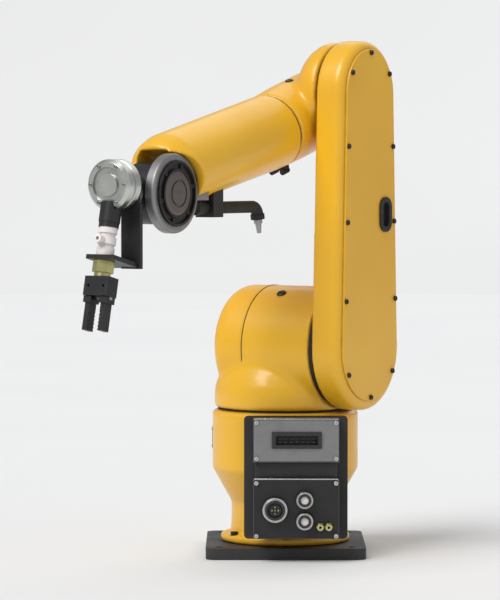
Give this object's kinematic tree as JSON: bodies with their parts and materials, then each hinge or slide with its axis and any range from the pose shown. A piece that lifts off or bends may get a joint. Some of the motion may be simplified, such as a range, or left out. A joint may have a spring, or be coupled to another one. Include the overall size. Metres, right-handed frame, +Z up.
{
  "type": "six-axis robot arm",
  "caption": "Small six-axis articulated robot arm with side-mounted upper arm, tapered forearm, forked wrist and a hanging two-finger gripper.",
  "frame": {"origin": "centre of the base plate's mounting face, on the axis of the first joint", "axes": "+Z up along the first joint's axis; -Y towards the connector box on the base; +X to the right seen from the connector box's side"},
  "size_m": [0.4367, 0.5871, 0.741],
  "materials": {
    "yellow_paint": "cast aluminium under semi-gloss yellow paint",
    "dark_paint": "dark grey powder coat",
    "grey_aluminium": "satin machined aluminium",
    "black_anodised": "black anodised aluminium",
    "black_rubber": "matt rubber",
    "black_plastic": "matt moulded plastic",
    "white_plastic": "moulded white plastic",
    "steel_screws": "blackened steel",
    "steel_drive": "ground steel",
    "motor_housing": "dark anodised aluminium",
    "brass": "plain brass",
    "grey_tip": "turned aluminium"
  },
  "bodies": {
    "base": {"base_plate": "dark_paint", "base_screws": "steel_screws", "pedestal_casting": "yellow_paint", "j1_reducer": "steel_drive", "j1_motor": "motor_housing", "j1_seal_ring": "black_rubber", "connector_backplate": "dark_paint", "connector_box": "grey_aluminium", "connector_box_screws": "steel_screws", "upper_panel": "grey_aluminium", "lower_panel": "black_anodised", "panel_screws": "steel_screws", "motor_socket": "black_plastic", "power_connector": "black_plastic", "signal_connectors": "black_plastic", "air_ports": "brass"},
    "turret": {"turret_casting": "yellow_paint", "shoulder_end_cover": "yellow_paint", "shoulder_cover_screws": "steel_screws", "j2_motor": "motor_housing", "j2_reducer": "steel_drive", "j2_seal_ring": "black_rubber"},
    "upper_arm": {"upper_arm_casting": "yellow_paint", "upper_arm_cover": "yellow_paint", "cable_grommet": "black_rubber", "arm_cover_screws": "steel_screws", "j3_seal_ring": "black_rubber"},
    "elbow": {"elbow_housing": "yellow_paint", "elbow_rear_cover": "yellow_paint", "elbow_cover_screws": "steel_screws", "j3_motor": "motor_housing", "j3_reducer": "steel_drive", "j4_reducer": "steel_drive", "j4_motor": "motor_housing", "j4_seal_ring": "black_rubber", "cable_clip": "black_rubber"},
    "forearm": {"forearm_casting": "yellow_paint", "fork_arm": "grey_aluminium", "wrist_bezel": "black_anodised", "wrist_cover_screws": "steel_screws", "wrist_cap": "grey_aluminium", "j5_axle": "steel_drive", "j5_motor": "motor_housing", "air_pipe": "black_rubber", "pipe_nozzle": "grey_tip", "pipe_clamp": "black_anodised"},
    "wrist": {"tilt_housing": "black_anodised", "j6_drive": "steel_drive"},
    "tool": {"tool_flange": "grey_aluminium", "tool_bracket": "black_anodised", "flange_screws": "steel_screws", "tool_adapter": "grey_aluminium", "adapter_screws": "steel_screws", "tool_collar": "black_anodised", "push_fittings": "white_plastic", "clamp_nut": "brass", "gripper_body": "black_anodised", "guide_rail": "steel_drive"},
    "left_finger": {"finger_left": "black_anodised"},
    "right_finger": {"finger_right": "black_anodised"}
  },
  "joints": [
    {"name": "j1_turn", "type": "hinge", "parent": "base", "child": "turret", "pos_m": [0, 0, 0.21], "axis": [0, 0, 1], "range_deg": [-160, 160]},
    {"name": "j2_shoulder", "type": "hinge", "parent": "turret", "child": "upper_arm", "pos_m": [0.07967, -0.05174, 0.3], "axis": [0.8387, -0.5446, 0], "range_deg": [-60, 85]},
    {"name": "j3_elbow", "type": "hinge", "parent": "upper_arm", "child": "elbow", "pos_m": [0.08135, -0.05283, 0.665], "axis": [-0.8387, 0.5446, 0], "range_deg": [-35, 130]},
    {"name": "j4_roll", "type": "hinge", "parent": "elbow", "child": "forearm", "pos_m": [-0.02318, -0.1018, 0.611], "axis": [-0.5229, -0.8052, -0.2795], "range_deg": [-180, 180]},
    {"name": "j5_tilt", "type": "hinge", "parent": "forearm", "child": "wrist", "pos_m": [-0.18222, -0.34669, 0.526], "axis": [-0.8387, 0.5446, 0], "range_deg": [-95, 50]},
    {"name": "j6_turn", "type": "hinge", "parent": "wrist", "child": "tool", "pos_m": [-0.21762, -0.4012, 0.526], "axis": [-0.5446, -0.8387, 0], "range_deg": [-180, 180]},
    {"name": "left_finger_slide", "type": "slide", "parent": "tool", "child": "left_finger", "axis": [-0.8387, 0.5446, 0], "range_m": [-0.002, 0.006]},
    {"name": "right_finger_slide", "type": "slide", "parent": "tool", "child": "right_finger", "axis": [0.8387, -0.5446, 0], "range_m": [-0.002, 0.006]}
  ],
  "couplings": [
    {"joint": "right_finger_slide", "follows": "left_finger_slide", "ratio": 1}
  ]
}
